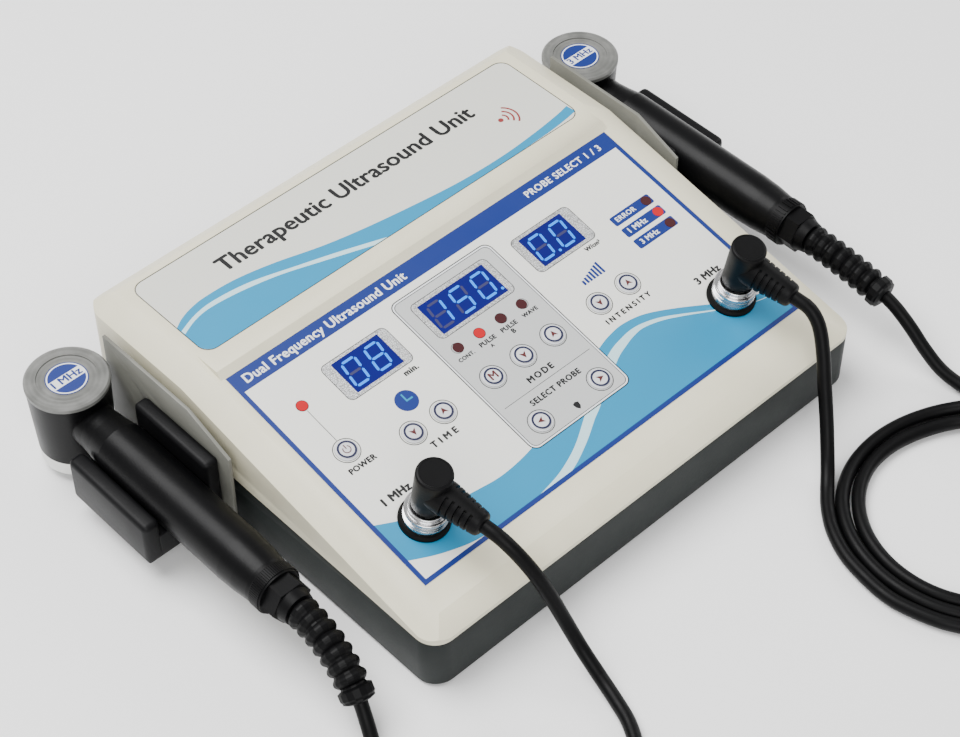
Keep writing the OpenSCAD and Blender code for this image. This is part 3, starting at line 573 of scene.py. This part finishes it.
digit_bars = {"8": "abcdefg", "0": "abcdef", "1": "bc", "5": "acdfg", " ": ""}
for name, (u0, v0, u1, v1), (w0, x0, w1, x1), text in (
        ("time", (-76.3, 82.9, -41.3, 103.3), (-71.4, 84.5, -45.8, 101.9), "08"),
        ("mode", (-26, 82.9, 17.4, 103.9), (-23.3, 84.5, 14.3, 101.9), "150."),
        ("level", (31.8, 82.5, 66, 103), (35.8, 84.1, 61, 101.5), "0.0")):
    ink(f"frame_{name}", [box_line(u0, v0, u1, v1, 2.6), box_line(w0, x0, w1, x1, 0.4)], -0.02, silver.material)
    ink(f"frame_{name}_line", [box_line(u0 - 0.3, v0 - 0.3, u1 + 0.3, v1 + 0.3, 2.9),
                               box_line(u0, v0, u1, v1, 2.6)], -0.01, ink_black)
    digits = [c for c in text if c != "."]
    pitch = 12.4
    first = (w0 + w1) / 2 - pitch * (len(digits) - 1) / 2 - 0.4
    on, off, n = [], [], -1
    for mark in text:
        cx, cy = first + pitch * max(n, 0), (x0 + x1) / 2
        if mark == ".":
            on.append(circle_line(cx + 5.6, cy - 6.2, 0.75, 16))
            continue
        n += 1
        cx = first + pitch * n
        corner = {k: (cx + sx * 3.5 + sy * 0.9, cy + sy * 6.2)
                  for k, (sx, sy) in {"tl": (-1, 1), "tr": (1, 1), "ml": (-1, 0), "mr": (1, 0),
                                      "bl": (-1, -1), "br": (1, -1)}.items()}
        for bar, (a, b) in {"a": ("tl", "tr"), "b": ("tr", "mr"), "c": ("mr", "br"), "d": ("bl", "br"),
                            "e": ("bl", "ml"), "f": ("ml", "tl"), "g": ("ml", "mr")}.items():
            (on if bar in digit_bars[mark] else off).append(bar_line(*corner[a], *corner[b]))
    ink(f"digits_{name}", on, -0.05, lit.material)
    if off:
        ink(f"digits_{name}_off", off, -0.06, unlit)

# ---- status lamps ----
# Clear-topped 5 mm lamps that just reach the film. Three of them are lit red,
# the others look dark maroon through the same red lens.
lamp = Finish("lamp_red", 0.22, specular=0.6)
x, y, z = lamp.axes()
glow = None
for u, v in ((-93.7, 93.7), (-10.9, 75.8), (97.3, 75.4)):
    place = panel @ Vector((u * 0.001, v * 0.001, 0))
    away = (x - place.x) * (x - place.x) + (y - place.y) * (y - place.y)
    near = 1 - away.step(0.000004, 0.000012)
    glow = near if glow is None else glow.high(near)
lamp.colour(lamp.mix(glow, (0.045, 0.006, 0.008), (0.34, 0.003, 0.007)))
lamp.tree.links.new(lamp.mix(glow, (0.0, 0.0, 0.0), (1.0, 0.006, 0.02)).socket, lamp.shader.inputs["Emission Color"])
lamp.shader.inputs["Emission Strength"].default_value = 0.28
lamp.rough(lamp.noise(300, 2) * 0.1 + 0.17)
coated("status_lamps", lamp.material)

# ---- keys ----
# Round domed keys in a satin white film, each inside a printed double ring with
# its symbol. Every key moves by itself, so its rings and symbol ride on it.
key_film = moulded("key_film", (0.60, 0.61, 0.63), (0.66, 0.67, 0.69), 0.34, 1500, 0.00002)
ring_ink = film("ink_ring_navy", (0.010, 0.012, 0.045))
symbol_ink = film("ink_symbol", (0.085, 0.012, 0.012))
arrow = [(-1.6, 1.4), (0, 0.5), (1.6, 1.4), (0, -1.9)]
keys = {"power": ((-93.4, 66.2), None), "time_down": ((-66.4, 55.8), 0), "time_up": ((-49.7, 55.8), 180),
        "menu": ((-21.5, 55.8), None), "mode_down": ((-4, 55.8), 0), "mode_up": ((13.5, 55.8), 180),
        "probe_down": ((-20.8, 27.3), -90), "probe_up": ((13.6, 27.3), 90),
        "level_down": ((41, 55.5), 0), "level_up": ((58.4, 55.5), 180)}
rings = []
for name, ((u, v), turn) in keys.items():
    rings += [circle_line(u, v, 5.95), circle_line(u, v, 5.6)]
    coated(f"key_{name}", key_film)
    shape = []
    if turn is not None:
        c, s = math.cos(math.radians(turn)), math.sin(math.radians(turn))
        shape = [[(u + a * c - b * s, v + a * s + b * c) for a, b in arrow]]
    elif name == "power":
        bow = [math.radians(90 + 38 + (360 - 76) * k / 24) for k in range(25)]
        shape = [[(u + 1.9 * math.cos(t), v + 1.9 * math.sin(t)) for t in bow]
                 + [(u + 1.45 * math.cos(t), v + 1.45 * math.sin(t)) for t in reversed(bow)],
                 box_line(u - 0.25, v + 0.3, u + 0.25, v + 2.5)]
    if shape:
        ink(f"key_{name}_symbol", shape, 0.93, symbol_ink, body=f"key_{name}")
    else:
        lettered(f"key_{name}_symbol", [("M", u, v, 3.4, 1)], 0.93, symbol_ink, body=f"key_{name}")
    ink(f"key_{name}_ring", [circle_line(u, v, 4.2), circle_line(u, v, 3.25)], 0.92, ring_ink,
        body=f"key_{name}")
ink("key_outer_rings", rings, -0.02, ink_black)
ink("lamp_rings", [circle_line(u, v, r, 28) for u, v in ((-93.7, 93.7), (-23.6, 75.8), (-10.9, 75.8), (1.6, 75.8),
                                                         (14.1, 75.8)) for r in (2.75, 2.5)], -0.02, ink_black)

# ---- cradles and brackets ----
# Each handset drops into an open black moulding. It is screwed, through a bent
# painted plate, to four studs on the side of the case.
black = moulded("moulded_black", (0.0025, 0.0025, 0.003), (0.0055, 0.0055, 0.006), 0.45, 1800, 0.00005, 0.14)
plate_paint = moulded("plate_paint", (0.145, 0.145, 0.125), (0.18, 0.18, 0.158), 0.4, 1900, 0.00004)
softened("side_brackets", 0.0004, plate_paint, segments=2)
hand_x, hand_z, head_y = 0.151, 0.032, 0.0868    # where a handset's axis and its head's centre lie


def block(low, high, width):
    """A moulded block between two corners in millimetres, its edges rounded."""
    bpy.ops.object.select_all(action="DESELECT")
    bpy.ops.mesh.primitive_cube_add(size=1, location=[(a + b) / 2000 for a, b in zip(low, high)])
    piece = bpy.context.object
    piece.scale = [abs(b - a) / 1000 for a, b in zip(low, high)]
    bpy.ops.object.transform_apply(location=True, rotation=True, scale=True)
    rounding = piece.modifiers.new("rounding", "BEVEL")
    rounding.width = width
    rounding.segments = 4
    bpy.ops.object.modifier_apply(modifier="rounding")
    return piece


for side, sign in (("left", -1), ("right", 1)):
    blocks = [block((sign * 131.5, 10.5, 10), (sign * 138.7, 58.5, 46), 0.0022),
              block((sign * 163.3, 10.5, 10), (sign * 171.5, 62.5, 33), 0.0026),
              block((sign * 132, 11, 10), (sign * 171, 62, 20), 0.0012),
              block((sign * 137.2, 10.5, 12), (sign * 164.8, 62.5, 24), 0.0006)]
    for piece in blocks[2:]:
        bpy.ops.object.select_all(action="DESELECT")
        bpy.ops.mesh.primitive_cylinder_add(vertices=64, radius=0.0123, depth=0.2,
                                            location=(sign * hand_x, 0.04, hand_z), rotation=(math.pi / 2, 0, 0))
        cutter = bpy.context.object
        only(piece)
        channel = piece.modifiers.new("channel", "BOOLEAN")
        channel.object = cutter
        channel.operation = "DIFFERENCE"
        channel.solver = "EXACT"
        bpy.ops.object.modifier_apply(modifier="channel")
        bpy.data.objects.remove(cutter)
    only(blocks[0])
    for piece in blocks:
        piece.select_set(True)
    bpy.ops.object.join()
    cradle = blocks[0]
    cradle.name = f"cradle_moulding_{side}"
    bpy.ops.object.shade_smooth_by_angle(angle=math.radians(35))
    cradle.data.materials.clear()
    cradle.data.materials.append(black)
    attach(cradle, "console")
    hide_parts(f"cradle_{side}")

# ---- handsets ----
# The handle and the head are black mouldings. The head carries a grey end cap
# with a round sticker above and a turned aluminium face below.
handset_black = moulded("handset_black", (0.0011, 0.0011, 0.0013), (0.0026, 0.0026, 0.003), 0.36, 1500, 0.00004, 0.14)
soft_black = moulded("soft_black", (0.0013, 0.0013, 0.0015), (0.003, 0.003, 0.0034), 0.46, 1300, 0.00005, 0.12)
cap_grey = Finish("cap_grey", 0.4, specular=0.4)
x, y, z = cap_grey.axes()
nearer_head = ((x + hand_x) * (x + hand_x)).low((x - hand_x) * (x - hand_x))
spread = nearer_head + (y - head_y) * (y - head_y)
ripple = (spread.worked("POWER", spread, 0.5) * 2600).sine()
cap_grey.colour(cap_grey.mix(cap_grey.noise(120, 4).step(0.3, 0.7) * 0.6 + ripple * 0.1 + 0.1,
                             (0.105, 0.107, 0.10), (0.20, 0.20, 0.19)))
cap_grey.rough(cap_grey.noise(200, 3) * 0.25 + 0.25)
cap_grey.bump(ripple + cap_grey.noise(700, 2), 0.00005, 0.5)
turned = Finish("face_turned", 0.3, 1.0)
x, y, z = turned.axes()
turned.colour(turned.mix(turned.noise(200, 3), (0.60, 0.60, 0.58), (0.72, 0.72, 0.70)))
turned.rough(turned.noise(90, 2) * 0.15 + 0.24)
turned.bump((z * 9000).sine() + turned.noise(2200, 1), 0.00002, 0.5)
ceramic = moulded("crystal_silvered", (0.55, 0.52, 0.42), (0.66, 0.63, 0.52), 0.4)
for side, sign in (("left", -1), ("right", 1)):
    for node in ("head", "handle"):
        coated(f"{node}_{side}", handset_black)
    for node in ("gland", "strain_relief"):
        coated(f"{node}_{side}", soft_black)
    coated(f"head_cap_{side}", cap_grey.material)
    coated(f"treatment_face_{side}", turned.material)
    coated(f"crystal_{side}", ceramic)
    top = Matrix.Translation((sign * hand_x, head_y, 0.0479))
    body, slot = f"handset_{side}", "disc_plastic"
    disc_r, half_band = 8.1, 2.6
    band = math.degrees(math.asin(half_band / disc_r))
    upper = [(disc_r * math.cos(math.radians(a)), disc_r * math.sin(math.radians(a)))
             for a in (band + (180 - 2 * band) * k / 24 for k in range(25))]
    lower = [(-a, -b) for a, b in upper]
    ink(f"sticker_{side}_white", [circle_line(0, 0, 8.9)], 0.08, ink_white, top, body)
    ink(f"sticker_{side}_blue", [upper, lower], 0.10, deep_blue, top, body)
    ink(f"sticker_{side}_rim", [circle_line(0, 0, 9.2), circle_line(0, 0, 8.75)], 0.10, deep_blue, top, body)
    lettered(f"sticker_{side}_words", [("1 MHz" if side == "left" else "3 MHz", 0, 0, 14.2, 1.0)],
             0.11, deep_blue, top, body)

# ---- gland collars ----
# The nut that clamps the strain relief into the handle's end is knurled all
# round: 36 straight ridges between two plain edges. It is a black moulding too.
for side in ("left", "right"):
    low, high = (Vector(p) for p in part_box(f"gland_{side}"))
    bpy.ops.object.select_all(action="DESELECT")
    bpy.ops.mesh.primitive_cylinder_add(
        vertices=72, radius=0.0105, depth=0.0054, end_fill_type="NGON",
        location=((low.x + high.x) / 2, high.y - 0.0035, hand_z), rotation=(math.pi / 2, 0, 0))
    collar = bpy.context.object
    collar.name = f"gland_collar_{side}"
    bpy.ops.object.transform_apply(location=True, rotation=True, scale=True)
    for face in collar.data.polygons:
        face.select = abs(face.normal.y) < 0.5 and face.index % 2 == 0
    bpy.ops.object.mode_set(mode="EDIT")
    bpy.ops.mesh.select_mode(type="FACE")
    bpy.ops.mesh.inset(thickness=0.00008, depth=0.00045, use_individual=True)
    bpy.ops.object.mode_set(mode="OBJECT")
    collar.data.materials.append(soft_black)
    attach(collar, f"handset_{side}")

# ---- sockets ----
# A nickel-plated threaded barrel stands in a black washer on the panel. The
# plug's contact barrel, which slides into it, is turned steel.
plated = Finish("plated", 0.18, 1.0)
x, y, z = plated.axes()
plated.colour(plated.mix(plated.noise(160, 3), (0.60, 0.60, 0.61), (0.74, 0.74, 0.75)))
plated.rough(plated.noise(240, 3) * 0.16 + 0.1)
height = z * math.cos(tilt) - y * math.sin(tilt)
plated.bump((height * 12000).sine(), 0.00006, 0.35)
steel = Finish("steel_turned", 0.3, 1.0)
steel.colour(steel.mix(steel.noise(130, 3), (0.42, 0.42, 0.43), (0.58, 0.58, 0.59)))
steel.rough(steel.noise(300, 3) * 0.2 + 0.2)
rubber_black = moulded("rubber_black", (0.0015, 0.0015, 0.0015), (0.0035, 0.0035, 0.0035), 0.6, 1100, 0.00006, 0.12)
coated("panel_sockets", plated.material)
coated("socket_washers", rubber_black)
for side in ("left", "right"):
    coated(f"plug_core_{side}", steel.material)

# ---- plug mouldings ----
# The angled body is one moulding: an upright barrel with a flat, rimmed top,
# and a boot with side slots that leaves it low down and hugs the lead.


def spun(name, profile, steps=48):
    """A turned piece: its outline, as (radius, height) in mm, is spun round the upright axis."""
    mesh = bpy.data.meshes.new(name)
    mesh.from_pydata([(r * 0.001, 0, h * 0.001) for r, h in profile],
                     [(k, k + 1) for k in range(len(profile) - 1)], [])
    piece = bpy.data.objects.new(name, mesh)
    bpy.context.scene.collection.objects.link(piece)
    only(piece)
    bpy.ops.object.mode_set(mode="EDIT")
    bpy.ops.mesh.select_all(action="SELECT")
    bpy.ops.mesh.spin(steps=steps, angle=2 * math.pi, center=(0, 0, 0), axis=(0, 0, 1))
    bpy.ops.mesh.select_all(action="SELECT")
    bpy.ops.mesh.remove_doubles(threshold=0.000002)
    bpy.ops.mesh.normals_make_consistent(inside=False)
    bpy.ops.object.mode_set(mode="OBJECT")
    return piece


def on_socket(side):
    """The place of a side's socket: its origin on the panel, its axis upright."""
    low, high = (Vector(p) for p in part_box(f"plug_core_{side}"))
    middle = panel.inverted() @ ((low + high) / 2)
    return panel @ Matrix.Translation((middle.x, middle.y, 0))


def boot_radius(height):
    return 7.45 - 0.115 * (height - 7.4)


barrel = [(0, 17), (6.02, 17), (6.02, 13), (7.0, 13), (7.2, 13.3), (7.4, 19), (7.7, 31), (7.75, 34.0), (7.6, 34.7),
          (7.2, 35.1), (6.5, 35.2), (6.35, 35.05), (0, 35.05)]
slots = [8.6 + 2.9 * n for n in range(5)]
boot = [(0, 0), (7.3, 0.02), (7.4, 7.4)]
for start in slots:
    outer = [boot_radius(start), boot_radius(start + 1.2)]
    boot += [(outer[0], start), (outer[0] - 1.1, start + 0.15), (outer[1] - 1.1, start + 1.05), (outer[1], start + 1.2)]
boot += [(5.7, 22.4), (5.5, 24.2), (5.0, 25.2), (4.2, 25.7), (3.2, 25.8), (0, 25.8)]
for side in ("left", "right"):
    parts = []
    for label, profile in (("barrel", barrel), ("boot", boot)):
        piece = spun(f"plug_{label}_{side}", profile)
        if label == "boot":
            for v in piece.data.vertices:
                reach = math.hypot(v.co.x, v.co.y)
                ridge = abs(v.co.x) < 0.4 * reach
                in_slot = any(start + 0.1 < v.co.z * 1000 < start + 1.1 for start in slots)
                if ridge and in_slot:
                    want = boot_radius(v.co.z * 1000) * 0.001
                    v.co.x, v.co.y = v.co.x * want / reach, v.co.y * want / reach
            piece.data.transform(Matrix.Rotation(math.radians(10), 4, "Z") @ Matrix.Translation((0, 0, 0.024))
                                 @ Matrix.Rotation(math.radians(90), 4, "X"))
        piece.data.transform(on_socket(side))
        parts.append(piece)
    only(parts[0])
    parts[1].select_set(True)
    bpy.ops.object.join()
    plug = parts[0]
    plug.name = f"plug_moulding_{side}"
    bpy.ops.object.shade_smooth_by_angle(angle=math.radians(38))
    plug.data.materials.append(soft_black)
    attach(plug, f"plug_{side}")
    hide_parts(f"plug_{side}")

# ---- coupling rings ----
# The coupling ring is turned brass, plated: a threaded grip between two plain
# lands, stepped in at its top where it closes round the plug's neck.
grip = [(9.5, 3.6 + 0.35), (9.5, 4.7)]
for n in range(5):
    grip += [(9.12, 4.85 + 0.72 * n), (9.12, 5.1 + 0.72 * n), (9.5, 5.25 + 0.72 * n), (9.5, 5.42 + 0.72 * n)]
ring_line = [(7.6, 3.6), (9.15, 3.6)] + grip + [(9.5, 9.2), (9.15, 9.6), (8.3, 9.62), (8, 9.9), (8, 11.5), (7.7, 11.8),
                                               (6.3, 11.8), (6.3, 10.3), (7.6, 10.3), (7.6, 3.6)]
for side in ("left", "right"):
    ring = spun(f"ring_turned_{side}", ring_line, 64)
    ring.data.transform(on_socket(side))
    only(ring)
    bpy.ops.object.shade_smooth_by_angle(angle=math.radians(32))
    ring.data.materials.append(plated.material)
    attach(ring, f"ring_{side}")
    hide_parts(f"ring_{side}")

# ---- feet and screws ----
# Four black rubber feet are stuck under the tray, and steel screws hold the
# tray to the lid and the brackets to their studs.
coated("rubber_feet", rubber_black)
coated("screws", steel.material)

# ---- mains entry ----
# A three-pole inlet, a fuse holder and a rocker switch sit in the back wall,
# all in black moulded plastic; the rocker is dark red.
for node in ("mains_inlet", "fuse_holder", "fuse_cap", "rocker_frame", "tact_switches"):
    coated(node, black)
coated("rocker_key", moulded("rocker_red", (0.16, 0.012, 0.01), (0.22, 0.018, 0.015), 0.3, 1500, 0.00003))

# ---- inside ----
# Two circuit boards with their display modules, a small mains transformer, an
# extruded heat sink, a glass fuse and a flat cable; seen only with the lid off.
board = Finish("circuit_board", 0.3)
tracks = board.node("ShaderNodeTexBrick", {}, board.place, (0.012, 0.12, 0.05, 1), (0.02, 0.18, 0.08, 1),
                    (0.03, 0.26, 0.12, 1), 220.0)
board.colour(tracks)
board.rough(board.noise(200, 2) * 0.2 + 0.2)
for node in ("control_board", "power_board"):
    coated(node, board.material)
sink = Finish("sink_aluminium", 0.35, 1.0)
sink.colour(sink.mix(sink.noise(60, 2, stretch=(1, 12, 1)), (0.5, 0.51, 0.52), (0.68, 0.69, 0.70)))
coated("heat_sink", sink.material)
core = Finish("core_laminated", 0.45, 0.4)
x, y, z = core.axes()
core.colour(core.mix((z * 12000).sine().step(-0.5, 0.5), (0.06, 0.045, 0.03), (0.14, 0.11, 0.08)))
coated("mains_transformer", core.material)
coated("display_modules", handset_black)
coated("ribbon_cable", moulded("ribbon_grey", (0.20, 0.20, 0.22), (0.30, 0.30, 0.32), 0.45))
coated("mains_fuse", steel.material)
